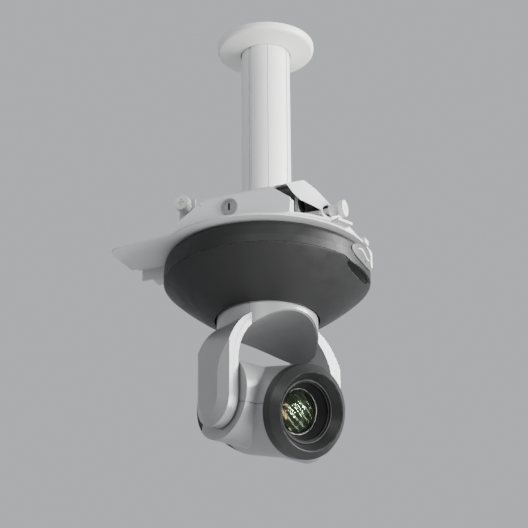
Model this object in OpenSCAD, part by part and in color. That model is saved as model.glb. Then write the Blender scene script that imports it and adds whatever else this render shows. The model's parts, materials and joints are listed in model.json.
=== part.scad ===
// Ceiling-hung pan-tilt-zoom camera on a drop column.
// Z = 0 is the ceiling face, +Z points up, the base's badge faces -Y.

/* [Ceiling mount] */
// Diameter of the ceiling flange cover
flange_d = 96; // [90:1:110]
// Diameter of the drop column
column_d = 48; // [46:0.5:50]
// Length of the drop column below the ceiling plate
column_len = 186; // [180:1:190]
// Pitch circle of the four ceiling screws
ceiling_pcd = 66; // [62:1:70]
// Diameter of the ceiling screw holes
ceiling_hole_d = 5.5; // [4.5:0.5:6]

/* [Bracket] */
// Diameter of the round tray that carries the camera
tray_d = 210; // [204:1:216]
// Height of the bracket housing above the tray
housing_h = 43; // [40:1:45]
// Distance of the flat lock wall from the column axis
lock_wall_x = 90; // [86:1:92]

/* [Camera base] */
// Largest diameter of the round base
base_d = 196; // [190:1:200]
// Height of the upper band of the base
band_h = 20.5; // [18:0.5:23]
// Height of the bowl below the band
bowl_h = 37.5; // [34:0.5:39]
// Wall thickness of the plastic shells
wall = 2.4; // [2:0.1:3]

/* [Yoke] */
// Diameter of the yoke's hub
hub_d = 95; // [90:1:97]
// Clear half width between the yoke's arms
arm_in = 55; // [52:1:57]
// Width of an arm, front to back
arm_w = 48; // [44:1:52]
// Height of the tilt axis below the ceiling
tilt_drop = 388.5; // [385:0.5:395]

/* [Head] */
// Radius of the round body that holds the lens
body_r = 42.6; // [40:0.2:44]
// Radius of the round cheeks beside the arms
cheek_r = 38; // [34:0.5:40]
// Distance of the bezel's front opening from the tilt axis
bezel_front = 66; // [63:0.5:69]

/* [Rest pose] */
// Pan angle from the badge, as hung
rest_pan = -29; // [-60:1:60]
// Tilt angle below the horizon, as hung
rest_tilt = 17; // [0:1:60]

/* [Hidden] */
$fn = 96;
fine = 24;
eps = 0.01;
gap = 0.3;

cover_a0 = 207;
cover_a1 = 263;
slot_angles = [161, 17, 340];

tray_top = -236;
tray_t = 2;
tray_bottom = tray_top - tray_t;
tray_r = tray_d / 2;
foot_h = 1.5;
base_top = tray_bottom - foot_h;
band_top = -241;
band_bottom = band_top - band_h;
bowl_bottom = band_bottom - bowl_h;
base_r = base_d / 2;
bowl_open_r = hub_d / 2 + 2;
column_r = column_d / 2;
plate_t = 4;
column_bottom = -plate_t - column_len;
collar_r = 33;
roof_z = tray_top + housing_h;
lock_z = -220.5;
lock_y = -1;
lock_r = 7.4;
rear_screw = [-68, 55.5, -197];
front_screw = [-57, -97, -226.5];
frame_hx = 64;
upright_in = 34;
frame_front = -58;
frame_rear = 30;
frame_t = 3;
frame_top = roof_z - 5 - gap;
post_x = -61;
tab_angle = -116;
grommet = [-57, frame_front, -215];
wing_x = -84;
wing_y = 127;

bowl_top = band_bottom - 0.4;
badge_z = -250.5;
lobe_h = 3.4;
socket_hx = 43;
socket_z = -251.5;
panel_y = 83;
sockets = [[-28, 12, 12], [-4, 16, 13.5], [22, 15, 6.5]];
chassis_z = -269;
post_r = 55;
pan_motor_x = -57;
bowl_power = 1.8;

tilt_z = -tilt_drop;
arch_r = arm_in;
arch_z = tilt_z + 30;
arm_t = 5;
arm_flat = arm_in + 16;
arm_edge = arm_in + 10;
arm_hw = arm_w / 2;
arm_y = -3;
arm_low = 5;
bevel_w = 10;
axle_r = 8;
bearing_r = 12;
cheek_x = arm_in - 1.5;
shoulder_x = 22.5;
shoulder_h = 70;
shoulder_z = tilt_z + 14;
groove_angle = 58.5;
tilt_motor_z = 27;
motor_pulley_r = 4;
tilt_pulley_r = 9.5;
pulley_t = 2.2;
rotor_r = 11.3;
stub_r = 5;
belt_t = 1.2;
hub_top = bowl_bottom + 8;
motor_face = arm_in + arm_t + 0.4;
arm_screw_places = [[-15, 46], [9, 46], [-3, -22]];
ear_x = 45;

pan_pulley_r = 32;
pan_motor_r = 13;
pan_pulley_z = -281;
spindle_r = 14;

bezel_r = 43;
bezel_back = 50;
bezel_edge = 60;
split_z = -2;
mouth_r = 34.8;
ring_y = 58;
ring_r = 27.5;
glass_y = 44;
glass_r = 19.8;
rear_y = 22;
rear_r = 46;

// ---- helpers ----

// Places what is drawn in the yoke's own frame: lens towards -Y, tilt axis along X.
module in_yoke() {
    rotate([0, 0, rest_pan]) children();
}

// Places what is drawn in the head's own frame: origin on the tilt axis, lens towards -Y.
module in_head() {
    in_yoke() translate([0, 0, tilt_z]) rotate([rest_tilt, 0, 0]) children();
}

// Turns a solid of revolution about Z so that it lies along -Y, on the lens axis.
module on_lens() {
    rotate([90, 0, 0]) children();
}

module ring(r_out, r_in, h) {
    difference() {
        cylinder(r = r_out, h = h);
        translate([0, 0, -1]) cylinder(r = r_in, h = h + 2);
    }
}

// Points of an arc from angle a0 to a1 about c.
function arc(c, r, a0, a1, n) = oval(c, r, r, a0, a1, n);

// Points of an elliptical arc.
function oval(c, rx, ry, a0, a1, n) =
    [for (i = [0:n]) c + [rx * cos(a0 + (a1 - a0) * i / n), ry * sin(a0 + (a1 - a0) * i / n)]];

// Flat outline of a belt round two pulleys, as a filled shape: r0 at the origin, r1 at distance d along Y.
module belt_shape(r0, r1, d) {
    a = asin((r0 - r1) / d);
    polygon(concat(arc([0, 0], r0, 180 - a, 360 + a, 48), arc([0, d], r1, a, 180 - a, 24)));
}

module belt_loop(r0, r1, d, h) {
    linear_extrude(h) difference() {
        belt_shape(r0 + gap + belt_t, r1 + gap + belt_t, d);
        belt_shape(r0 + gap, r1 + gap, d);
    }
}

// A pan-head screw with a cross recess, pointing down -Z from its seat at Z = 0.
module screw(r, len, head_r) {
    head_h = head_r * 0.7;
    slot = head_r * 0.3;
    difference() {
        union() {
            cylinder(r = head_r, h = head_h, $fn = fine);
            translate([0, 0, -len]) cylinder(r = r, h = len + eps, $fn = fine);
        }
        for (a = [0, 90])
            rotate([0, 0, a]) translate([-head_r * 0.65, -slot / 2, head_h * 0.5])
                cube([head_r * 1.3, slot, head_h]);
    }
}

// ---- ceiling mount ----

module ceiling_plate() {
    color("silver") translate([0, 0, -plate_t]) difference() {
        cylinder(r = flange_d / 2 - 4.5, h = plate_t);
        translate([0, 0, -1]) cylinder(r = 12, h = plate_t + 2);
        for (a = [45:90:315])
            rotate([0, 0, a]) translate([ceiling_pcd / 2, 0, -1])
                cylinder(r = ceiling_hole_d / 2, h = plate_t + 2, $fn = fine);
        for (a = [20:90:290])
            rotate([0, 0, a]) translate([column_r - 6.5, 0, -1])
                cylinder(r = 2.1, h = plate_t + 2, $fn = fine);
        for (a = [20:90:290])
            rotate([0, 0, a]) translate([column_r - 6.5, 0, plate_t - 2])
                cylinder(r1 = 2.1, r2 = 4.2, h = 2 + eps, $fn = fine);
    }
}

module ceiling_flange() {
    r = flange_d / 2;
    outside = concat([[column_r + 0.8, -11], [column_r + 3, -11]], arc([r - 4, -3.5], 4, -75, 0, 8), [[r, 0]]);
    inside = [[r - 3, 0], [r - 3, -4.6], [column_r + 0.8, -8.6]];
    color("whitesmoke") rotate_extrude() polygon(concat(outside, inside));
}

// Cross-section of the extruded column, with its cable channel open between two angles.
module column_section() {
    difference() {
        circle(r = column_r);
        difference() {
            circle(r = column_r - 3);
            for (a = [20:90:290])
                rotate(a) translate([column_r - 6.5, 0]) circle(r = 4.2, $fn = fine);
        }
        for (a = [20:90:290])
            rotate(a) translate([column_r - 6.5, 0]) circle(r = 1.8, $fn = fine);
        for (a = slot_angles)
            rotate(a) translate([column_r - 1.4, -1.3]) square([3, 2.6]);
        for (a = slot_angles)
            rotate(a + 5.5) translate([column_r - 0.5, -0.35]) square([3, 0.7]);
        polygon(concat([[0, 0]], arc([0, 0], column_r + 2, cover_a0, cover_a1, 12)));
    }
}

module column() {
    color("whitesmoke") translate([0, 0, column_bottom]) linear_extrude(column_len) column_section();
}

module column_cover() {
    color("whitesmoke") translate([0, 0, column_bottom + 1]) linear_extrude(column_len - 2) intersection() {
        difference() {
            circle(r = column_r);
            circle(r = column_r - 2);
        }
        polygon(concat([[0, 0]], arc([0, 0], column_r + 2, cover_a0 + 1, cover_a1 - 2.6, 12)));
    }
}

module column_screws() {
    color("silver") for (a = [20:90:290])
        rotate([0, 0, a]) translate([column_r - 6.5, 0, 0]) {
            translate([0, 0, -2]) cylinder(r1 = 1.9, r2 = 3.9, h = 1.9, $fn = fine);
            translate([0, 0, -18]) cylinder(r = 1.7, h = 16 + eps, $fn = fine);
        }
}

module column_clamp() {
    color("silver") difference() {
        union() {
            translate([0, 0, roof_z - 5]) cylinder(r = collar_r - 4, h = 23);
            translate([0, 0, roof_z - 5]) cylinder(r = collar_r, h = 2.7);
        }
        translate([0, 0, column_bottom]) cylinder(r = column_r + 0.1, h = 60);
        translate([0, 0, roof_z - 6]) cylinder(r = column_r - 4, h = 60);
        for (x = [-20, 20])
            for (y = [-14, 14])
                translate([x, y, roof_z - 6]) cylinder(r = 2.2, h = 5.4, $fn = fine);
        for (a = [0, 180])
            rotate([0, 0, a]) translate([0, -40, roof_z + 10]) rotate([-90, 0, 0])
                cylinder(r = 1.9, h = 20, $fn = fine);
    }
}

// ---- bracket ----

module bracket_bridge() {
    color("silver") difference() {
        translate([-frame_hx, frame_front, frame_top - frame_t])
            cube([2 * frame_hx, frame_rear - frame_front, frame_t]);
        translate([0, 0, frame_top - 10]) cylinder(r = 17, h = 20);
        for (x = [-20, 20])
            for (y = [-14, 14])
                translate([x, y, frame_top - 10]) cylinder(r = 2.2, h = 20, $fn = fine);
    }
}

module front_upright() {
    color("silver") difference() {
        translate([-frame_hx, frame_front, tray_top])
            cube([2 * frame_hx, frame_t, frame_top - frame_t - tray_top]);
        translate(grommet - [0, 1, 0]) rotate([-90, 0, 0]) cylinder(r = 5, h = frame_t + 2);
        translate([front_screw[0], frame_front - 1, front_screw[2]]) rotate([-90, 0, 0])
            cylinder(r = 3.1, h = 6);
    }
}

// Rear uprights, one of them with the post of the rear thumb screw.
module rear_uprights() {
    color("silver") {
        translate([upright_in, frame_rear - frame_t, tray_top])
            cube([frame_hx - upright_in, frame_t, frame_top - frame_t - tray_top]);
        difference() {
            union() {
                translate([-frame_hx, frame_rear - frame_t, tray_top])
                    cube([frame_hx - upright_in, frame_t, frame_top - frame_t - tray_top]);
                translate([post_x, frame_rear - 1, tray_top]) cube([frame_t, 34, 12]);
                translate([post_x, 47.5, tray_top]) cube([frame_t, 16, 47]);
            }
            translate([post_x - 1, rear_screw[1], rear_screw[2]]) rotate([0, 90, 0]) cylinder(r = 3.1, h = 6);
        }
    }
}

module cable_grommet() {
    color("black") translate(grommet + [0, -1.6, 0]) rotate([-90, 0, 0]) difference() {
        union() {
            cylinder(r = 6.6, h = 1.5);
            cylinder(r = 4.9, h = frame_t + 1.7);
            translate([0, 0, frame_t + 1.7]) cylinder(r = 6.6, h = 1.5);
        }
        translate([0, 0, -1]) cylinder(r = 3.4, h = 12);
    }
}

// Solid outline of the housing, smaller by t on every side but the bottom.
module housing_solid(t) {
    r = tray_r - 2 - t;
    front = -86 + t;
    top = roof_z - t;
    low = tray_top - eps;
    side = [[front, low], [front, -220 - t * 0.2], [-83 + t * 0.8, -214.5 - t * 0.5],
        [-77 + t * 0.7, -207 - t * 0.7], [-70 + t * 0.5, -201 - t * 0.8],
        [-60 + t * 0.3, -196.2 - t * 0.9], [-50, -194 - t], [-38, top], [36, top], [42, top - 12],
        [58 - t, -226 - t * 0.5], [58 - t, low]];
    end = [[-lock_wall_x + t, low], [-lock_wall_x + t, -207 - t * 0.6], [-62, top], [62, top],
        [lock_wall_x - t, -207 - t * 0.6], [lock_wall_x - t, low]];
    intersection() {
        translate([0, 0, tray_top - 2 * eps]) cylinder(r = r, h = housing_h + 4);
        rotate([90, 0, 90]) linear_extrude(240, center = true) polygon(side);
        rotate([90, 0, 0]) linear_extrude(240, center = true) polygon(end);
    }
}

// Outline in YZ of the arched window at the front corner of the housing.
module corner_window() {
    polygon([[-40, -206], [-60.5, -222], [-60.5, -234], [-82, -234], [-80.5, -227], [-74, -224],
        [-66, -220.5], [-60.5, -214], [-56.5, -207], [-52.5, -202.5], [-47, -200]]);
}

module bracket_housing() {
    color("white") difference() {
        housing_solid(0);
        translate([0, 0, -0.1]) housing_solid(2);
        translate([0, 0, tray_top - 1]) cylinder(r = tray_r, h = 1.1);
        translate([-lock_wall_x - 5, -62, tray_top - 1]) cube([7.2, 140, 70]);
        translate([-100, 0, 0]) rotate([90, 0, 90]) linear_extrude(58) corner_window();
        translate([0, 0, roof_z - 20]) cylinder(r = collar_r - 3.4, h = 60);
        translate([-88, frame_rear, -250]) cube([164, 80, 100]);
        translate([front_screw[0], -92, front_screw[2]]) rotate([-90, 0, 0]) cylinder(r = 5.9, h = 22);
        rotate([0, 0, tab_angle]) translate([tray_r - 9.3, -9.3, tray_top - 1]) cube([20, 18.6, 3.8]);
    }
}

// The flat wall with the key lock.
module lock_plate() {
    x0 = -lock_wall_x;
    color("white") difference() {
        translate([x0, 0, 0]) rotate([90, 0, 90]) linear_extrude(2)
            polygon([[52, tray_top], [52.5, -226.5], [29, -210], [22, -208.5], [-42, -208.5], [-46, -210.5],
                [-60, -221.5], [-61, -226], [-60, tray_top]]);
        translate([x0 - 1, lock_y, lock_z]) rotate([0, 90, 0]) cylinder(r = lock_r, h = 5);
        translate([x0 - 1, 28, -214.5]) rotate([38, 0, 0]) cube([4, 12, 1.2]);
    }
}

module bracket_screws() {
    color("silver") {
        for (x = [-20, 20])
            for (y = [-14, 14])
                translate([x, y, frame_top - frame_t]) rotate([180, 0, 0]) screw(2.1, 6.4, 4);
        for (a = [0:90:270])
            rotate([0, 0, a]) translate([38, 0, tray_top]) screw(2.1, 7, 4);
    }
}

module tray_outline() {
    difference() {
        union() {
            translate([-2, 4]) circle(r = tray_r - 2);
            polygon(concat([[-40, 60], [-92, 40], [wing_x, 110]],
                arc([wing_x + 12, wing_y - 12], 12, 180, 90, 6),
                [[-36, wing_y - 2], [-36, wing_y - 7], [-32, wing_y - 7], [-32, 90]]));
        }
        circle(r = 22);
        translate([0, 98]) square([56, 40], center = true);
        for (a = [30:60:330])
            rotate(a) translate([62, 0]) circle(r = 9);
        for (a = [0:90:270])
            rotate(a) translate([38, 0]) circle(r = 2.3, $fn = fine);
        translate([-70.5, -7]) square([5, 14.5]);
    }
}

module camera_tray() {
    color("whitesmoke") {
        translate([0, 0, tray_bottom]) linear_extrude(tray_t) tray_outline();
        rotate([0, 0, tab_angle]) translate([tray_r - 9, -9, tray_top - eps]) cube([13, 18, 2.5]);
        translate([-5, -101, tray_bottom]) cube([10, 3, 5]);
    }
}

// Flange that hangs from the edge of the tray beside the rear opening.
module tray_flange() {
    color("whitesmoke") {
        translate([-32, 92, tray_bottom - 11]) cube([2, 24, 11]);
        translate([-32, 88, tray_bottom - 13]) cube([12, 16, 2.01]);
    }
}

module lock_barrel() {
    color("silver") translate([-lock_wall_x, lock_y, lock_z]) rotate([0, -90, 0]) difference() {
        union() {
            cylinder(r = 8.2, h = 2);
            translate([0, 0, -18]) cylinder(r = lock_r - 0.1, h = 18 + eps);
        }
        translate([0, 0, -20]) cylinder(r = 5.6, h = 30);
    }
}

module lock_plug() {
    color("gray") translate([-lock_wall_x, lock_y, lock_z]) rotate([0, -90, 0]) difference() {
        translate([0, 0, -21]) cylinder(r = 5.54, h = 22.4);
        translate([-3.5, -0.9, -6]) cube([7, 1.8, 20]);
    }
}

module lock_cam() {
    color("silver") translate([-lock_wall_x + 21, lock_y, lock_z]) rotate([0, 90, 0]) {
        cylinder(r = 5.5, h = 2);
        translate([0, -5, 0]) cube([16.3, 10, 2]);
    }
}

// Knurled thumb screw along Z, its head up: the head's underside is at Z = 0.
module thumb_screw(head_r, head_t, neck, stem) {
    ribs = 20;
    difference() {
        union() {
            linear_extrude(head_t) difference() {
                circle(r = head_r);
                for (i = [0:ribs - 1])
                    rotate(i * 360 / ribs) translate([head_r + 0.25, 0]) circle(r = 0.7, $fn = 12);
            }
            translate([0, 0, -neck]) cylinder(r = 5.4, h = neck + eps);
            translate([0, 0, -stem]) cylinder(r = 3, h = stem);
        }
        for (a = [0, 90])
            rotate([0, 0, a]) translate([-head_r * 0.45, -0.7, head_t - 1.5]) cube([head_r * 0.9, 1.4, 3]);
    }
}

module rear_thumb_screw() {
    color("whitesmoke") translate(rear_screw) rotate([0, -90, 0]) thumb_screw(7.5, 7, 5, 12);
}

module front_thumb_screw() {
    color("whitesmoke") translate(front_screw) rotate([90, 0, 0]) thumb_screw(7.8, 4.5, 10, 41);
}

// ---- camera base ----

module base_plate() {
    color("dimgray") translate([0, 0, base_top - 3]) difference() {
        cylinder(r = base_r - 4.2, h = 3);
        translate([0, 0, -1]) cylinder(r = 12, h = 5);
        for (a = [0:90:270])
            rotate([0, 0, a]) translate([38, 0, -1]) cylinder(r = 2.15, h = 5, $fn = fine);
        for (a = [45:90:315])
            rotate([0, 0, a]) translate([80, 0, -1]) cylinder(r = 2.5, h = 5, $fn = fine);
    }
}

module rubber_feet() {
    color("black") for (a = [45:90:315])
        rotate([0, 0, a]) translate([62, 0, base_top]) cylinder(r = 7.5, h = foot_h);
}

// The rear cut-out of the base, where the sockets sit.
module rear_cutout(grow) {
    translate([-socket_hx - grow, 60, band_bottom + 2]) cube([2 * (socket_hx + grow), 60, band_h - 4]);
}

// Lobe at the front of the band that hangs over the window.
module band_lobe(grow) {
    r = base_r - 0.2;
    intersection() {
        translate([0, 0, band_bottom - lobe_h - grow]) ring(r + grow, r - wall - grow, lobe_h + grow + 1);
        translate([0, -60, band_bottom]) rotate([90, 0, 0]) linear_extrude(60)
            polygon([[-38 - grow, 1], [-34 - grow, -0.4 - grow], [-29 - grow, -1.9 - grow],
                [-23 - grow, -lobe_h - grow], [23 + grow, -lobe_h - grow], [29 + grow, -1.9 - grow],
                [34 + grow, -0.4 - grow], [38 + grow, 1]]);
    }
}

module base_band() {
    color("dimgray") band_lobe(0);
    color("dimgray") difference() {
        rotate_extrude() polygon([[base_r - 2.2, band_top], [base_r - 0.6, band_top - 4],
            [base_r, band_top - 13], [base_r - 0.2, band_bottom],
            [base_r - 0.2 - wall, band_bottom], [base_r - wall, band_top - 13],
            [base_r - 0.6 - wall, band_top - 4], [base_r - 4, band_top]]);
        rear_cutout(0);
    }
}

// Points of the bowl's profile, from its rim to the opening round the hub, smaller by t.
function bowl_arc(t) = [for (a = [0:3.75:90])
    [bowl_open_r + (base_r - 0.4 - bowl_open_r - t) * pow(cos(a), bowl_power),
    bowl_top - (bowl_h - 0.4 - t) * pow(sin(a), bowl_power)]];

module window_prism(grow) {
    translate([0, -60, band_bottom - lobe_h]) rotate([90, 0, 0]) linear_extrude(60)
        polygon(oval([0, 0], 26 + grow, 4.4 + grow, 0, 360, 32));
}

module base_bowl() {
    inner = bowl_arc(wall);
    color("dimgray") difference() {
        rotate_extrude() polygon(concat(bowl_arc(0), [for (i = [len(inner) - 1:-1:0]) inner[i]]));
        window_prism(0);
        band_lobe(gap);
    }
}

module ir_window() {
    color("black") difference() {
        intersection() {
            rotate_extrude()
                polygon(concat([[70, bowl_top - 1]], bowl_arc(0.8), [[bowl_open_r, bowl_bottom + 10]]));
            window_prism(-0.15);
            translate([-40, -100, -300]) cube([80, 12, 60]);
        }
        band_lobe(gap + 0.1);
    }
}

module badge() {
    color("gray") intersection() {
        translate([0, 0, badge_z - 12]) ring(base_r + 1, base_r + 0.05, 24);
        translate([0, -60, badge_z]) rotate([90, 0, 0]) linear_extrude(60)
            polygon(oval([0, 0], 25, 9, 0, 360, 48));
    }
}

module rear_panel() {
    color("black") difference() {
        translate([-socket_hx + 0.3, panel_y, band_bottom + 2.3]) cube([2 * socket_hx - 0.6, 2, band_h - 4.6]);
        for (s = sockets)
            translate([s[0] - s[1] / 2, panel_y - 1, socket_z - s[2] / 2]) cube([s[1], 4, s[2]]);
    }
}

// Body of a socket behind the panel, with a mouth of the given width and height.
module socket(s, deep) {
    translate([s[0] - s[1] / 2 + 0.1, panel_y - deep, socket_z - s[2] / 2 + 0.1]) difference() {
        cube([s[1] - 0.2, deep + 1.8, s[2] - 0.2]);
        translate([1, 3, 1]) cube([s[1] - 2.2, deep + 2, s[2] - 2.2]);
    }
}

module power_inlet() {
    color("black") {
        socket(sockets[0], 11);
        translate([sockets[0][0], panel_y, socket_z]) rotate([90, 0, 0]) cylinder(r = 1.2, h = 10, $fn = fine);
    }
}

module network_socket() {
    color("silver") socket(sockets[1], 14);
}

module video_socket() {
    color("silver") {
        socket(sockets[2], 10);
        translate([sockets[2][0] - 4.5, panel_y - 8, socket_z - 0.5]) cube([9, 8, 1]);
    }
}

module main_board() {
    color("darkgreen") difference() {
        union() {
            translate([0, 0, -262]) cylinder(r = 68, h = 1.6);
            for (p = [[20, -40, 14], [-24, -36, 10], [34, 20, 12], [8, 38, 9]])
                translate([p[0] - p[2] / 2, p[1] - p[2] / 2, -260.5]) cube([p[2], p[2], 2]);
        }
        translate([0, 0, -270]) cylinder(r = 24, h = 20);
        translate([pan_motor_x, 0, -270]) cylinder(r = pan_motor_r + 2, h = 20);
        for (a = [45:90:315])
            rotate([0, 0, a]) translate([post_r, 0, -270]) cylinder(r = 4.3, h = 20, $fn = fine);
    }
}

module base_chassis() {
    color("silver") difference() {
        union() {
            translate([0, 0, chassis_z]) cylinder(r = 86, h = 2);
            for (a = [45:90:315])
                rotate([0, 0, a]) translate([post_r, 0, chassis_z])
                    cylinder(r = 4, h = base_top - 3 - chassis_z, $fn = fine);
            translate([0, 0, chassis_z]) cylinder(r = 26, h = 6);
        }
        translate([0, 0, chassis_z - 1]) cylinder(r = 22.05, h = 10);
        translate([pan_motor_x, 0, chassis_z - 1]) cylinder(r = 4, h = 10);
        for (a = [10:40:330])
            rotate([0, 0, a]) translate([75, 0, chassis_z - 1]) cylinder(r = 5, h = 4);
    }
}

module pan_bearing() {
    color("silver") translate([0, 0, chassis_z]) ring(22, spindle_r + 0.05, 6);
}

module pan_motor() {
    color("black") translate([pan_motor_x, 0, chassis_z + 2]) difference() {
        cylinder(r = pan_motor_r, h = 18);
        translate([0, 0, -1]) cylinder(r = 2.55, h = 16, $fn = fine);
    }
}

module pan_motor_pulley() {
    color("goldenrod") translate([pan_motor_x, 0, pan_pulley_z]) {
        translate([0, 0, -4]) cylinder(r = 8, h = 8);
        cylinder(r = 2.5, h = 26, $fn = fine);
    }
}

module pan_belt() {
    color("black") translate([0, 0, pan_pulley_z - 3]) rotate([0, 0, 90])
        belt_loop(pan_pulley_r, 8, -pan_motor_x, 6);
}

// ---- yoke ----

module arm_outline(r) {
    low = tilt_z - arm_low;
    translate([arm_y - r, low]) square([2 * r, arch_z + 70 - low]);
    translate([arm_y, low]) circle(r = r);
}

module yoke_frame() {
    r = arch_r + arm_t;
    low = tilt_z - arm_low - arm_hw - 1;
    band = concat([[-r, low]], arc([0, arch_z], r, 180, 0, 48), [[r, low]]);
    color("silver") in_yoke() difference() {
        union() {
            intersection() {
                rotate([90, 0, 0]) linear_extrude(2 * arm_w, center = true) polygon(band);
                rotate([90, 0, 90]) linear_extrude(3 * r, center = true) arm_outline(arm_hw);
            }
            translate([0, 0, arch_z]) cylinder(r = hub_d / 2, h = hub_top - arch_z);
        }
        translate([0, 0, arch_z]) rotate([90, 0, 0]) cylinder(r = arch_r, h = 200, center = true);
        translate([-arch_r, -60, tilt_z - 60]) cube([2 * arch_r, 120, arch_z - tilt_z + 60]);
        translate([0, 0, tilt_z]) rotate([0, 90, 0]) cylinder(r = bearing_r + 0.05, h = 200, center = true);
        translate([0, 0, hub_top - 20]) cylinder(r = 9, h = 30);
        for (s = [-1, 1])
            rotate([0, 0, s * groove_angle - 90]) translate([hub_d / 2 - 0.5, -0.3, arch_z])
                cube([3, 0.6, 80]);
        for (s = [-1, 1])
            for (p = arm_screw_places)
                translate([s * (arch_r - 4), p[0], tilt_z + p[1]]) rotate([0, s * 90, 0]) {
                    cylinder(r = 1.4, h = 20, $fn = fine);
                    cylinder(r = 2.9, h = 6, $fn = fine);
                }
    }
}

module pan_spindle() {
    color("silver") in_yoke() difference() {
        union() {
            translate([0, 0, hub_top]) cylinder(r = spindle_r, h = -256 - hub_top);
            translate([0, 0, hub_top]) cylinder(r = 20, h = pan_pulley_z - 4 - hub_top + eps);
            translate([0, 0, pan_pulley_z - 4]) cylinder(r = pan_pulley_r, h = 8);
            translate([0, 0, chassis_z - gap - 3]) cylinder(r = 17, h = 3);
            translate([0, 0, chassis_z + 6 + gap]) cylinder(r = 17, h = 2);
        }
        translate([0, 0, hub_top - 1]) cylinder(r = 9, h = 60);
        for (a = [0:60:300])
            rotate([0, 0, a]) translate([25, 0, pan_pulley_z - 5]) cylinder(r = 4, h = 12, $fn = fine);
    }
}

// Dark trim that follows the arch over the head.
module saddle_liner() {
    color("dimgray") in_yoke() intersection() {
        translate([0, 0, arch_z]) rotate([90, 0, 0]) difference() {
            cylinder(r = arch_r - 0.02, h = 120, center = true);
            cylinder(r = arch_r - 1, h = 122, center = true);
        }
        translate([0, 0, arch_z + 10]) cylinder(r = hub_d / 2 - 1.5, h = 60);
    }
}

// Solid arm cover on the +X side, smaller by t outside, with its inner face left in place.
module arm_shape(t) {
    face = arm_in + arm_t + gap;
    low = tilt_z - arm_low;
    outside = oval([shoulder_x, shoulder_z], arm_flat - shoulder_x - t, shoulder_h - t, 77, 0, 24);
    inside = arc([0, arch_z], face, 0, 56.5, 16);
    flat_hw = arm_hw - bevel_w - t * 0.4;
    translate([0, arm_y, 0]) {
        intersection() {
            rotate([90, 0, 0]) linear_extrude(arm_w - 2 * t, center = true)
                polygon(concat([[face, low]], inside, outside, [[arm_flat - t, low]]));
            translate([0, 0, low - 1]) linear_extrude(130)
                polygon([[0, t - arm_hw], [arm_edge - t, t - arm_hw], [arm_flat - t, -flat_hw],
                    [arm_flat - t, flat_hw], [arm_edge - t, arm_hw - t], [0, arm_hw - t]]);
        }
        translate([0, 0, low]) rotate([0, 90, 0]) rotate_extrude() polygon([[0, face], [arm_hw - t, face],
            [arm_hw - t, arm_edge - t], [flat_hw, arm_flat - t], [0, arm_flat - t]]);
    }
}

module arm_cover(s) {
    face = arm_in + arm_t + gap;
    mirror([s < 0 ? 1 : 0, 0, 0]) difference() {
        arm_shape(0);
        intersection() {
            difference() {
                union() {
                    arm_shape(wall);
                    translate([-0.6, 0, 0]) arm_shape(wall + 0.6);
                }
                translate([0, arm_screw_places[2][0], tilt_z + arm_screw_places[2][1]]) rotate([0, 90, 0])
                    cylinder(r = 3, h = 90, $fn = fine);
            }
            translate([face - 2, -40, tilt_z - 40]) cube([40, 80, 81.5]);
        }
        translate([0, 0, arch_z]) cylinder(r = hub_d / 2 + gap, h = 80);
        for (p = arm_screw_places)
            translate([arch_r - 4, p[0], tilt_z + p[1]]) rotate([0, 90, 0])
                cylinder(r = 1.2, h = 12.5, $fn = fine);
    }
}

module left_arm_cover() {
    color("silver") in_yoke() arm_cover(-1);
}

module right_arm_cover() {
    color("silver") in_yoke() arm_cover(1);
}

module arm_screws() {
    color("silver") in_yoke() for (s = [-1, 1])
        for (p = arm_screw_places)
            translate([s * (arch_r - 1.2), p[0], tilt_z + p[1]]) rotate([0, s * 90, 0]) {
                translate([0, 0, 1.4]) cylinder(r = 1.1, h = 8, $fn = fine);
                translate([0, 0, 1.4]) cylinder(r = 2.6, h = 1.7, $fn = fine);
            }
}

module tilt_motor() {
    color("black") in_yoke() translate([-motor_face, 0, tilt_z + tilt_motor_z]) rotate([0, -90, 0])
        difference() {
            cylinder(r = 13, h = 3.4);
            translate([0, 0, 0.8]) cylinder(r = rotor_r + 0.3, h = 2);
            translate([0, 0, 1]) cylinder(r = 1.55, h = 5, $fn = fine);
        }
}

module tilt_motor_pulley() {
    color("goldenrod") in_yoke() translate([-motor_face, 0, tilt_z + tilt_motor_z]) rotate([0, -90, 0]) {
        translate([0, 0, 1]) cylinder(r = rotor_r, h = 1.6);
        translate([0, 0, 1.2]) cylinder(r = 1.5, h = 4, $fn = fine);
        translate([0, 0, 3.7]) cylinder(r = motor_pulley_r, h = pulley_t);
    }
}

module tilt_belt() {
    belt_x = -motor_face - 3.6 - pulley_t;
    color("black") in_yoke() translate([belt_x, 0, tilt_z]) rotate([0, 0, 90]) rotate([90, 0, 0])
        belt_loop(tilt_pulley_r, motor_pulley_r, tilt_motor_z, pulley_t - 0.2);
}

module tilt_bearings() {
    color("silver") in_yoke() for (s = [-1, 1])
        translate([s * arm_in, 0, tilt_z]) rotate([0, s * 90, 0]) ring(bearing_r, axle_r + 0.05, arm_t);
}

// ---- head ----

// Silver part of the head and the black rear part, as one solid smaller by t.
module head_solid(t) {
    intersection() {
        union() {
            on_lens() translate([0, 0, -60])
                cylinder(r1 = body_r - 3 - t, r2 = body_r - t, h = 60 + bezel_back);
            rotate([0, 90, 0]) cylinder(r = cheek_r - t, h = 2 * (cheek_x - t), center = true);
        }
        union() {
            rotate([0, 90, 0]) cylinder(r = rear_r - t, h = 200, center = true);
            translate([-100, -100, -100]) cube([200, 100, 200]);
        }
    }
}

module head_shell() {
    difference() {
        head_solid(0);
        head_solid(wall);
        on_lens() cylinder(r = body_r - wall, h = 80);
        translate([-100, rear_y, -100]) cube([200, 100, 200]);
        rotate([0, 90, 0]) cylinder(r = axle_r + 0.05, h = 200, center = true);
    }
}

module head_upper_shell() {
    color("silver") in_head() difference() {
        head_shell();
        translate([-100, -100, split_z - 199.75]) cube([200, 200, 200]);
    }
}

module head_lower_shell() {
    color("silver") in_head() difference() {
        head_shell();
        translate([-100, -100, split_z - 0.25]) cube([200, 200, 200]);
    }
}

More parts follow.
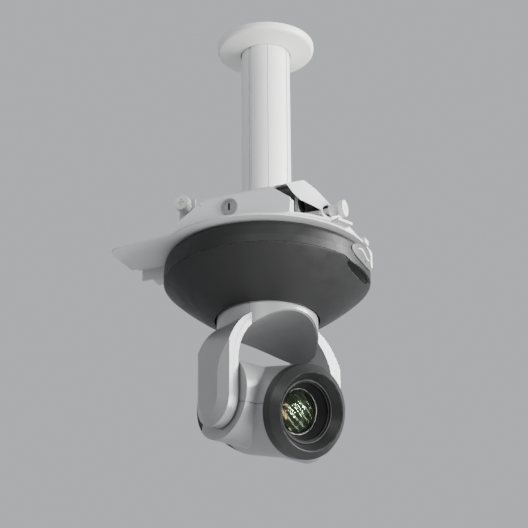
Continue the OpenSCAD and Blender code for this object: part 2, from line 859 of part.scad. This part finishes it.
module rear_cover() {
    color("black") in_head() difference() {
        head_solid(0.2);
        head_solid(wall);
        translate([-100, rear_y + 0.3 - 200, -100]) cube([200, 200, 200]);
        for (i = [-4:4])
            translate([i * 5 - 1, 30, -14]) cube([2, 40, 28]);
    }
}

module lens_bezel() {
    color("black") in_head() on_lens() difference() {
        rotate_extrude() polygon(concat([[bezel_r - 3, bezel_back + 0.2], [bezel_r, bezel_back + 0.2]],
            arc([bezel_r - 1, bezel_edge - 0.8], 1, 0, 60, 4),
            [[mouth_r + 0.8, bezel_front], [mouth_r, bezel_front - 0.5], [mouth_r, bezel_front - 2.5],
            [bezel_r - 3, bezel_edge - 2.5]]));
        for (a = [-8:45:307])
            rotate([0, 0, a]) translate([bezel_r - 6.6, -0.35, bezel_edge + 0.4]) rotate([0, 36, 0])
                cube([6, 0.7, 3]);
    }
}

module lens_hood() {
    color("black") in_head() on_lens() rotate_extrude() polygon([[mouth_r - 0.1, bezel_front - 0.9],
        [ring_r + 1.9, ring_y - 0.6], [ring_r + 1.9, 46], [ring_r + 3.4, 46], [ring_r + 3.4, ring_y - 1.6],
        [mouth_r - 0.1, bezel_front - 3]]);
}

module barrel_ring() {
    color("black") in_head() on_lens() rotate_extrude() polygon([[ring_r + 1.6, 45],
        [ring_r + 1.6, ring_y - 0.4], [ring_r + 1.2, ring_y], [ring_r, ring_y],
        [ring_r, ring_y - 1.6], [ring_r - 1.4, ring_y - 2.2],
        [ring_r - 1.4, ring_y - 4], [glass_r + 1.2, glass_y + 3.5], [glass_r + 1.2, glass_y + 1.8],
        [glass_r + 3, glass_y + 1.8], [ring_r - 0.4, ring_y - 6], [ring_r - 0.4, 45]]);
}

module lens_barrel() {
    color("black") in_head() on_lens() translate([0, 0, -8]) difference() {
        cylinder(r = 24, h = glass_y + 9.6);
        translate([0, 0, 1.6]) cylinder(r = glass_r + 0.2, h = 80);
        translate([0, 0, -1]) cylinder(r = 9, h = 5);
    }
}

module front_glass() {
    r = glass_r;
    color("lightblue") in_head() on_lens() translate([0, 0, glass_y]) rotate_extrude()
        polygon(concat([[0, -4], [r, -4], [r, 0]], arc([0, 4.5 - 42], 42, 90 - asin(r * 0.98 / 42), 90, 12)));
}

module lens_group(z, h, bore) {
    translate([0, 0, z]) difference() {
        cylinder(r = glass_r - 0.3, h = h);
        translate([0, 0, h * 0.5]) cylinder(r = bore, h = h);
        translate([0, 0, -1]) cylinder(r = bore - 2, h = h + 2);
    }
}

module zoom_group() {
    color("dimgray") in_head() on_lens() lens_group(23, 6, 14);
}

module focus_group() {
    color("dimgray") in_head() on_lens() lens_group(4, 5, 11);
}

module sensor_board() {
    color("darkgreen") in_head() {
        translate([-17, 10.2, -15]) cube([34, 1.6, 30]);
        translate([-7, 8.7, -5]) cube([14, 1.51, 10]);
        for (i = [-2:2])
            translate([i * 6 - 1, 11.79, -12]) cube([2, 7, 24]);
    }
}

module head_frame() {
    color("silver") in_head() difference() {
        union() {
            translate([-ear_x - 3, -21, -27]) cube([2 * ear_x + 6, 38, 2.5]);
            for (s = [-1, 1])
                translate([s * (ear_x + 1.5) - 1.5, -11, -26]) cube([3, 22, 36]);
            for (y = [-20, 4])
                translate([-11, y, -25]) cube([22, 5, 12]);
        }
        on_lens() translate([0, 0, -60]) cylinder(r = 24.1, h = 120);
        rotate([0, 90, 0]) cylinder(r = axle_r + 0.02, h = 200, center = true);
    }
}

module tilt_axles() {
    color("silver") in_head() {
        difference() {
            union() {
                translate([-motor_face + 0.2, 0, 0]) rotate([0, 90, 0])
                    cylinder(r = axle_r, h = motor_face + 1.8 - ear_x);
                translate([-motor_face - 6.4, 0, 0]) rotate([0, 90, 0]) cylinder(r = stub_r, h = 8);
            }
            translate([-motor_face - 9, 0, 0]) rotate([0, 90, 0]) cylinder(r = 3, h = 40);
        }
        difference() {
            translate([ear_x - 2, 0, 0]) rotate([0, 90, 0]) cylinder(r = axle_r, h = motor_face + 3 - ear_x);
            translate([ear_x - 4, 0, 0]) rotate([0, 90, 0]) cylinder(r = 5.5, h = 40);
        }
    }
}

module tilt_pulley() {
    color("goldenrod") in_head() translate([-motor_face - 3.7, 0, 0]) rotate([0, -90, 0])
        ring(tilt_pulley_r, stub_r + 0.02, pulley_t);
}

ceiling_plate();
ceiling_flange();
column();
column_cover();
column_screws();
column_clamp();
bracket_bridge();
front_upright();
rear_uprights();
cable_grommet();
bracket_housing();
lock_plate();
bracket_screws();
camera_tray();
tray_flange();
lock_barrel();
lock_plug();
lock_cam();
rear_thumb_screw();
front_thumb_screw();
base_plate();
rubber_feet();
base_band();
base_bowl();
badge();
ir_window();
rear_panel();
power_inlet();
network_socket();
video_socket();
main_board();
base_chassis();
pan_bearing();
pan_motor();
pan_motor_pulley();
pan_belt();
yoke_frame();
pan_spindle();
saddle_liner();
left_arm_cover();
right_arm_cover();
tilt_motor();
tilt_motor_pulley();
tilt_belt();
tilt_bearings();
arm_screws();
head_upper_shell();
head_lower_shell();
rear_cover();
lens_bezel();
lens_hood();
barrel_ring();
lens_barrel();
front_glass();
zoom_group();
focus_group();
sensor_board();
head_frame();
tilt_axles();
tilt_pulley();
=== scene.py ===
import json
from math import cos, pi, radians, sin

import bmesh
import bpy
from mathutils import Matrix, Vector


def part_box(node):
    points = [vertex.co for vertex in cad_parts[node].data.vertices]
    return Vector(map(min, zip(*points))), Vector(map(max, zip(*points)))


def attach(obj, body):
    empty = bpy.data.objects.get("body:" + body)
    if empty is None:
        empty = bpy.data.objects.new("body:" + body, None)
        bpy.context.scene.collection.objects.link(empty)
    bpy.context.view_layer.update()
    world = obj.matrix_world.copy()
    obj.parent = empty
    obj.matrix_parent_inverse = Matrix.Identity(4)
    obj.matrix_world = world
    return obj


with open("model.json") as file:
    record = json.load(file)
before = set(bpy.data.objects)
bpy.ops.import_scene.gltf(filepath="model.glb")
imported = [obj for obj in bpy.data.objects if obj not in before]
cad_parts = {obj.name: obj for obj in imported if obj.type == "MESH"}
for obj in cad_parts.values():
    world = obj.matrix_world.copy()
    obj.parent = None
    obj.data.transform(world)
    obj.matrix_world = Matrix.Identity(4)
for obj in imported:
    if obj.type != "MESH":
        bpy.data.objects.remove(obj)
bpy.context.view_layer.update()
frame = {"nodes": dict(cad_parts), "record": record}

NODES = frame["nodes"]
MM = 1000  # millimetres in a metre

# ---- camera: the photograph's place, heading from +Y towards +X, lens on a 36 mm sensor ----

EYE = (-1.5472, -0.6479, -1.0183)
HEADING, RISE, ROLL = 67.18, 24.91, -0.39
LENS = 132.7
NEAR, FAR = 0.05, 400


def make_camera():
    data = bpy.data.cameras.new("camera")
    data.lens = LENS
    data.clip_start = NEAR
    data.clip_end = FAR
    cam = bpy.data.objects.new("camera", data)
    bpy.context.collection.objects.link(cam)
    turn = Matrix.Rotation(radians(-HEADING), 4, "Z") @ Matrix.Rotation(radians(90 + RISE), 4, "X")
    cam.matrix_world = Matrix.Translation(EYE) @ turn @ Matrix.Rotation(radians(ROLL), 4, "Z")
    bpy.context.scene.camera = cam


# ---- materials: colours are linear, lengths in metres ----

EDGE_WEAR_AND_HIGHLIGHT = 0.0006  # radius of the edges painted with wear, and on the darker finishes with painted highlights
COAT_ROUGHNESS = 0.08


class Nodes:
    """Short names for building a material's nodes."""

    def __init__(self, name):
        self.mat = bpy.data.materials.new(name)
        self.mat.use_nodes = True
        self.tree = self.mat.node_tree
        self.tree.nodes.clear()
        self.out = self.add("ShaderNodeOutputMaterial")
        self.shader = self.add("ShaderNodeBsdfPrincipled")
        self.link(self.shader.outputs[0], self.out.inputs["Surface"])
        self.coords = self.add("ShaderNodeTexCoord").outputs["Object"]

    def add(self, kind, **settings):
        node = self.tree.nodes.new(kind)
        for key, value in settings.items():
            setattr(node, key, value)
        return node

    def link(self, a, b):
        self.tree.links.new(a, b)

    def noise(self, scale, detail=3.0, stretch=(1, 1, 1)):
        place = self.add("ShaderNodeMapping")
        place.inputs["Scale"].default_value = stretch
        self.link(self.coords, place.inputs[0])
        node = self.add("ShaderNodeTexNoise")
        node.inputs["Scale"].default_value = scale
        node.inputs["Detail"].default_value = detail
        self.link(place.outputs[0], node.inputs["Vector"])
        return node.outputs["Fac"]

    def ramp(self, value, low, high, a, b):
        node = self.add("ShaderNodeMapRange")
        for key, number in (("From Min", low), ("From Max", high), ("To Min", a), ("To Max", b)):
            node.inputs[key].default_value = number
        self.link(value, node.inputs["Value"])
        return node.outputs[0]

    def math(self, kind, a, b):
        node = self.add("ShaderNodeMath", operation=kind)
        for i, value in enumerate((a, b)):
            if hasattr(value, "is_linked"):
                self.link(value, node.inputs[i])
            else:
                node.inputs[i].default_value = value
        return node.outputs[0]

    def mix(self, fac, a, b):
        node = self.add("ShaderNodeMix", data_type="RGBA")
        self.link(fac, node.inputs["Factor"])
        for key, value in (("A", a), ("B", b)):
            socket = [s for s in node.inputs if s.name == key and s.type == "RGBA"][0]
            if hasattr(value, "is_linked"):
                self.link(value, socket)
            else:
                socket.default_value = (*value, 1)
        return [s for s in node.outputs if s.type == "RGBA"][0]

    def edges(self, radius):
        """1 on sharp edges, 0 on flat faces."""
        bevel = self.add("ShaderNodeBevel", samples=4)
        bevel.inputs["Radius"].default_value = radius
        flat = self.add("ShaderNodeNewGeometry").outputs["Normal"]
        dot = self.add("ShaderNodeVectorMath", operation="DOT_PRODUCT")
        self.link(bevel.outputs[0], dot.inputs[0])
        self.link(flat, dot.inputs[1])
        return self.ramp(dot.outputs["Value"], 0.995, 0.90, 0.0, 1.0)

    def bump(self, height, distance, strength=0.5):
        node = self.add("ShaderNodeBump")
        node.inputs["Distance"].default_value = distance
        node.inputs["Strength"].default_value = strength
        self.link(height, node.inputs["Height"])
        self.link(node.outputs[0], self.shader.inputs["Normal"])


def grey(value):
    return (value, value, value * 1.01)


def surface(name, dark, light, rough, grain=1800, depth=0.00004, metal=0.0, wear_and_highlight=None,
            stretch=(1, 1, 1), coat=0.0, blotch=25, specular=0.5):
    """A moulded, painted or metal surface: blotchy colour, fine grain, uneven gloss, and patchy edges in
    an edge colour that is wear, and also a painted highlight where it is lighter than the finish.
    """
    n = Nodes(name)
    colour = n.mix(n.noise(blotch, 4.0, stretch), dark, light)
    # Sharp edges take the edge colour in patches: worn edges, and painted edge highlights where that
    # colour is lighter than the finish.
    if wear_and_highlight:
        mask = n.math("MULTIPLY", n.edges(EDGE_WEAR_AND_HIGHLIGHT), n.ramp(n.noise(260), 0.42, 0.62, 0.0, 0.8))
        colour = n.mix(mask, colour, wear_and_highlight)
    n.link(colour, n.shader.inputs["Base Color"])
    n.link(n.ramp(n.noise(90, 5.0, stretch), 0.3, 0.7, rough * 0.85, min(rough * 1.18, 1)),
           n.shader.inputs["Roughness"])
    n.shader.inputs["Metallic"].default_value = metal
    n.shader.inputs["Specular IOR Level"].default_value = specular
    if coat:
        n.shader.inputs["Coat Weight"].default_value = coat
        n.shader.inputs["Coat Roughness"].default_value = COAT_ROUGHNESS
    n.bump(n.noise(grain, 2.0, stretch), depth)
    return n.mat


def glass(name, tint):
    """Coated clear glass: a weak greenish reflection, so that what lies behind it shows."""
    n = Nodes(name)
    n.link(n.mix(n.noise(30), tint, tuple(c * 0.94 for c in tint)), n.shader.inputs["Base Color"])
    n.link(n.ramp(n.noise(300), 0.3, 0.7, 0.0, 0.01), n.shader.inputs["Roughness"])
    n.shader.inputs["Transmission Weight"].default_value = 1.0
    n.shader.inputs["IOR"].default_value = 1.45
    n.shader.inputs["Specular IOR Level"].default_value = 0.06
    n.shader.inputs["Specular Tint"].default_value = (0.7, 1.0, 0.5, 1)
    return n.mat


def coated_element(name, film, tint):
    """An inner lens surface with the coloured reflection of its coating."""
    n = Nodes(name)
    n.link(n.mix(n.noise(90), tint, tuple(c * 0.7 for c in tint)), n.shader.inputs["Base Color"])
    n.link(n.ramp(n.noise(400), 0.3, 0.7, 0.05, 0.09), n.shader.inputs["Roughness"])
    n.shader.inputs["IOR"].default_value = 1.7
    n.shader.inputs["Metallic"].default_value = 0.9
    n.shader.inputs["Thin Film Thickness"].default_value = film
    n.shader.inputs["Thin Film IOR"].default_value = 1.4
    n.bump(n.noise(60), 0.000004)
    return n.mat


def make_materials():
    m = {}
    # Tray, base, liner, badge, black plastic, bezel, ring and silver take edge colours lighter than
    # their finish: painted highlights on their edges as well as wear. White parts, column and zinc take
    # darker edge colours: wear only.
    m["white_paint"] = surface("white_paint", grey(0.66), grey(0.72), 0.42, wear_and_highlight=(0.5, 0.5, 0.49))
    m["white_plastic"] = surface("white_plastic", (0.68, 0.68, 0.66), (0.74, 0.74, 0.72), 0.38,
                                 grain=1200, wear_and_highlight=(0.55, 0.55, 0.53))
    m["column_paint"] = surface("column_paint", grey(0.68), grey(0.74), 0.35, grain=900, depth=0.00003,
                                stretch=(6, 6, 0.15), wear_and_highlight=(0.5, 0.5, 0.5))
    m["tray_paint"] = surface("tray_paint", grey(0.46), grey(0.53), 0.45, wear_and_highlight=(0.65, 0.65, 0.65))
    m["steel"] = surface("galvanised_steel", grey(0.46), grey(0.60), 0.34, metal=1.0, blotch=120,
                         grain=500)
    m["rubber"] = surface("black_rubber", grey(0.012), grey(0.022), 0.75, grain=900)
    m["base"] = surface("dark_base_plastic", grey(0.012), grey(0.017), 0.44, wear_and_highlight=(0.09, 0.09, 0.09),
                        specular=0.35)
    m["liner"] = surface("saddle_liner", grey(0.13), grey(0.15), 0.60, wear_and_highlight=(0.16, 0.16, 0.16),
                         specular=0.3)
    m["badge"] = surface("badge_plastic", grey(0.085), grey(0.11), 0.34, wear_and_highlight=(0.3, 0.3, 0.3), coat=0.15)
    m["window"] = surface("smoked_window", grey(0.003), grey(0.005), 0.30, depth=0.00001, specular=0.25)
    m["black"] = surface("black_plastic", grey(0.007), grey(0.012), 0.42, wear_and_highlight=(0.06, 0.06, 0.065))
    m["bezel"] = surface("bezel_plastic", grey(0.008), grey(0.012), 0.34, wear_and_highlight=(0.10, 0.10, 0.10))
    m["ring"] = surface("black_anodised", grey(0.008), grey(0.012), 0.50, wear_and_highlight=(0.06, 0.06, 0.06),
                        specular=0.08)
    m["board"] = surface("circuit_board", (0.01, 0.07, 0.03), (0.015, 0.11, 0.04), 0.35, blotch=400,
                         coat=0.3)
    m["motor"] = surface("motor_steel", grey(0.16), grey(0.22), 0.32, metal=1.0, stretch=(1, 1, 8))
    m["brass"] = surface("brass", (0.55, 0.38, 0.13), (0.66, 0.48, 0.18), 0.28, metal=1.0, blotch=90)
    m["aluminium"] = surface("aluminium", grey(0.55), grey(0.66), 0.30, metal=1.0, blotch=150)
    m["silver"] = surface("silver_plastic", grey(0.32), grey(0.36), 0.33, grain=2600, metal=0.45,
                          wear_and_highlight=(0.5, 0.5, 0.51))
    m["zinc"] = surface("zinc_plate", grey(0.50), grey(0.60), 0.40, metal=0.35, blotch=60,
                        wear_and_highlight=(0.35, 0.35, 0.35))
    m["nickel"] = surface("nickel_lock", grey(0.38), grey(0.50), 0.26, metal=1.0, blotch=160)
    m["bright_ring"] = surface("bright_ring", grey(0.07), grey(0.11), 0.25, metal=1.0)
    m["glass"] = glass("lens_glass", (0.80, 0.82, 0.84))
    m["glass_green"] = coated_element("green_coated_glass", 450.0, (0.025, 0.05, 0.015))
    m["glass_amber"] = coated_element("amber_coated_glass", 380.0, (0.09, 0.06, 0.012))
    m["glass_rose"] = coated_element("rose_coated_glass", 330.0, (0.11, 0.015, 0.03))
    m["mark"] = surface("badge_mark", grey(0.62), grey(0.70), 0.35)
    m["led"] = surface("indicator", grey(0.010), grey(0.016), 0.15, coat=0.5)
    return m


# ---- CAD nodes: bevelled edges and materials ----

LOOKS = {
    "white_plastic": ["ceiling_flange", "column_cover", "rear_thumb_screw", "front_thumb_screw"],
    "column_paint": ["column"],
    "white_paint": ["bracket_housing", "lock_plate"],
    "tray_paint": ["camera_tray", "tray_flange"],
    "steel": ["ceiling_plate", "column_screws", "column_clamp", "bracket_screws", "lock_cam",
              "base_chassis", "pan_bearing", "tilt_bearings", "arm_screws", "network_socket",
              "video_socket"],
    "zinc": ["bracket_bridge", "front_upright", "rear_uprights"],
    "nickel": ["lock_barrel", "lock_plug"],
    "rubber": ["cable_grommet", "rubber_feet", "pan_belt", "tilt_belt"],
    "base": ["base_plate", "base_band", "base_bowl"],
    "liner": ["saddle_liner"],
    "badge": ["badge"],
    "window": ["ir_window"],
    "black": ["rear_panel", "power_inlet", "rear_cover", "lens_barrel", "lens_hood", "zoom_group",
              "focus_group"],
    "bezel": ["lens_bezel"],
    "ring": ["barrel_ring"],
    "board": ["main_board", "sensor_board"],
    "motor": ["pan_motor", "tilt_motor"],
    "brass": ["pan_motor_pulley", "tilt_motor_pulley", "tilt_pulley"],
    "aluminium": ["pan_spindle", "head_frame", "tilt_axles"],
    "silver": ["yoke_frame", "left_arm_cover", "right_arm_cover", "head_upper_shell",
               "head_lower_shell"],
    "glass": ["front_glass"],
}


EDGE_WIDTH = 0.0004
SHARP = 40  # degrees between faces that make an edge to soften


def dress(obj, material):
    obj.data.materials.clear()
    obj.data.materials.append(material)
    for face in obj.data.polygons:
        face.material_index = 0
    soften = obj.modifiers.new("soft_edges", "BEVEL")
    soften.width = EDGE_WIDTH
    soften.segments = 2
    soften.limit_method = "ANGLE"
    soften.angle_limit = radians(SHARP)
    soften.use_clamp_overlap = True
    soften.harden_normals = True


def dress_nodes(mats):
    for look, names in LOOKS.items():
        for name in names:
            dress(NODES[name], mats[look])


# ---- lens elements, retaining ring and badge details ----

REST_PAN, REST_TILT = -29, 17  # degrees from the badge, and below the horizon
TILT_Z = [j["pos_m"][2] for j in frame["record"]["behaviour"]["joints"] if j["name"] == "tilt"][0]
HEAD = (Matrix.Translation((0, 0, TILT_Z)) @ Matrix.Rotation(radians(REST_PAN), 4, "Z")
        @ Matrix.Rotation(radians(REST_TILT), 4, "X"))
LENS_AXIS = HEAD @ Matrix.Rotation(radians(90), 4, "X")


def add_piece(name, verts, faces, material, body, slot, smooth=True):
    mesh = bpy.data.meshes.new(name)
    mesh.from_pydata(verts, [], faces)
    bm = bmesh.new()
    bm.from_mesh(mesh)
    bmesh.ops.remove_doubles(bm, verts=bm.verts, dist=1e-7)
    bmesh.ops.recalc_face_normals(bm, faces=bm.faces)
    bm.to_mesh(mesh)
    bm.free()
    for face in mesh.polygons:
        face.use_smooth = smooth
    mesh.materials.append(material)
    obj = bpy.data.objects.new(name, mesh)
    bpy.context.collection.objects.link(obj)
    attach(obj, body)
    return obj


def turned(profile, place, steps=96):
    """A solid turned about the local Z axis: profile is a closed loop of (radius, height) in mm."""
    verts = []
    for i in range(steps):
        a = 2 * pi * i / steps
        verts += [place @ Vector((r * cos(a) / MM, r * sin(a) / MM, z / MM)) for r, z in profile]
    n = len(profile)
    faces = []
    for i in range(steps):
        here, there = i * n, ((i + 1) % steps) * n
        faces += [(here + j, here + (j + 1) % n, there + (j + 1) % n, there + j) for j in range(n)]
    return verts, faces


def lens_profile(radius, back, front, bulge, steps=14):
    """Half section of a lens with both faces curved outward."""
    profile = []
    for i in range(steps + 1):
        r = radius * i / steps
        profile.append((max(r, 0.001), back - bulge * (1 - (r / radius) ** 2)))
    for i in range(steps, -1, -1):
        r = radius * i / steps
        profile.append((max(r, 0.001), front + bulge * (1 - (r / radius) ** 2)))
    return profile


# Along the lens from the tilt axis, in mm: radius, back, front and the bulge of each face.
ZOOM_ELEMENTS = (
    ("zoom_element_outer", "glass_rose", (13.7, 26.6, 28.0, 0.9)),
    ("zoom_element_middle", "glass_green", (10.6, 28.4, 29.4, 1.1)),
    ("zoom_element_inner", "glass_amber", (6.2, 30.4, 31.0, 0.8)),
)
FOCUS_ELEMENT = (10.7, 7.0, 8.2, 0.5)
# Sections of the two bright rings: radius and place along the lens, in mm.
GLASS_RETAINER = [(20.0, 45.2), (20.9, 45.2), (20.9, 45.9), (20.5, 46.1), (20.0, 45.6)]
ZOOM_RETAINER = [(12.2, 28.7), (13.7, 28.7), (13.7, 29.6), (12.8, 29.6)]


def make_lens_details(mats):
    for name, coating, sizes in ZOOM_ELEMENTS:
        add_piece(name, *turned(lens_profile(*sizes), LENS_AXIS), mats[coating], "zoom", "lens_glass")
    add_piece("focus_element", *turned(lens_profile(*FOCUS_ELEMENT), LENS_AXIS), mats["glass_amber"],
              "focus", "lens_glass")
    add_piece("glass_retainer", *turned(GLASS_RETAINER, LENS_AXIS), mats["bright_ring"],
              "head", "black_anodised")
    add_piece("zoom_retainer", *turned(ZOOM_RETAINER, LENS_AXIS), mats["bright_ring"],
              "zoom", "black_anodised")


BADGE_LOW, BADGE_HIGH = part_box("badge")
BADGE_R = -BADGE_LOW[1] * MM
BADGE_MID = (BADGE_LOW[2] + BADGE_HIGH[2]) / 2 * MM
WAVE_STEPS, WAVE_LENGTH, WAVE_RISE, WAVE_SWING, WAVE_HALF = 24, 30, 2.4, 2.0, 1.0
DOT_STEPS, DOT_R, DOT_V = 12, 1.1, -4.6


def on_badge(u, v, lift):
    """A point on the badge's curved face: u along it and v up, in mm from its middle."""
    a = u / BADGE_R
    r = (BADGE_R + lift) / MM
    return Vector((r * sin(a), -r * cos(a), (BADGE_MID + v) / MM))


def badge_shape(outline, low=-0.25, high=0.12):
    """A thin raised shape on the badge: outline lists u and the v of its two edges, in mm."""
    verts = []
    for u, v0, v1 in outline:
        verts += [on_badge(u, v, lift) for v, lift in ((v0, low), (v0, high), (v1, high), (v1, low))]
    faces = [(0, 1, 2, 3), tuple(len(verts) - k for k in (1, 2, 3, 4))]
    for i in range(len(outline) - 1):
        k = 4 * i
        faces += [(k + j, k + (j + 1) % 4, k + 4 + (j + 1) % 4, k + 4 + j) for j in range(4)]
    return verts, faces


def make_badge_details(mats):
    wave = []
    for i in range(WAVE_STEPS + 1):
        t = i / WAVE_STEPS
        middle = WAVE_RISE + WAVE_SWING * sin(2 * pi * t)
        half = WAVE_HALF * sin(pi * min(max(t, 0.04), 0.96)) ** 0.6
        wave.append((-WAVE_LENGTH / 2 + WAVE_LENGTH * t, middle - half, middle + half))
    add_piece("badge_wave", *badge_shape(wave), mats["mark"], "mount", "white_plastic", smooth=False)
    dot = []
    for i in range(1, DOT_STEPS):
        half = DOT_R * sin(pi * i / DOT_STEPS)
        dot.append((-DOT_R * cos(pi * i / DOT_STEPS), DOT_V - half, DOT_V + half))
    add_piece("badge_dot", *badge_shape(dot), mats["led"], "mount", "smoked_window", smooth=False)


# ---- stage and lights ----

FLOOR_Z, FLOOR_REACH = -3.2, 120.0
ROOM_LIGHT = 0.58
MIDDLE = (0, 0, -0.25)
STRIP_COUNT, STRIP_SIZE, STRIP_TWIST = 5, (1.5, 0.07), -24
STRIP_FIRST, STRIP_STEP = (-0.75, -2.5, -1.25), (0.32, 0.05, 0.28)


def make_stage():
    mesh = bpy.data.meshes.new("floor")
    far = FLOOR_REACH
    corners = [(-far, -far, FLOOR_Z), (far, -far, FLOOR_Z), (far, far, FLOOR_Z), (-far, far, FLOOR_Z)]
    mesh.from_pydata(corners, [], [(0, 1, 2, 3)])
    floor = bpy.data.objects.new("floor", mesh)
    bpy.context.collection.objects.link(floor)
    n = Nodes("floor_paint")
    n.link(n.mix(n.noise(0.6), (0.74, 0.74, 0.74), (0.78, 0.78, 0.78)), n.shader.inputs["Base Color"])
    n.shader.inputs["Roughness"].default_value = 0.8
    mesh.materials.append(n.mat)
    world = bpy.data.worlds.new("room")
    world.use_nodes = True
    back = world.node_tree.nodes["Background"]
    back.inputs["Color"].default_value = (0.90, 0.92, 0.95, 1)
    back.inputs["Strength"].default_value = ROOM_LIGHT
    bpy.context.scene.world = world


def area_light(name, place, target, size, power, twist=0):
    data = bpy.data.lights.new(name, "AREA")
    data.shape = "RECTANGLE"
    data.size, data.size_y = size
    data.energy = power
    lamp = bpy.data.objects.new(name, data)
    lamp.location = place
    aim = (Vector(target) - Vector(place)).to_track_quat("-Z", "Y").to_matrix()
    lamp.rotation_euler = (aim @ Matrix.Rotation(radians(twist), 3, "Z")).to_euler()
    bpy.context.collection.objects.link(lamp)


def make_lights():
    """A fill beside the camera, and slanted strips and a high light in front of the badge."""
    area_light("camera_side_fill", (-2.6, -0.4, 0.3), MIDDLE, (1.2, 0.8), 14)
    for k in range(STRIP_COUNT):
        place = [first + step * k for first, step in zip(STRIP_FIRST, STRIP_STEP)]
        area_light("key_strip_%d" % k, place, MIDDLE, STRIP_SIZE, 48, twist=STRIP_TWIST)
    area_light("high_key", (0.9, -2.3, 0.9), (0, 0, -0.2), (1.0, 0.5), 70)


make_camera()
materials = make_materials()
dress_nodes(materials)
make_lens_details(materials)
make_badge_details(materials)
make_stage()
make_lights()
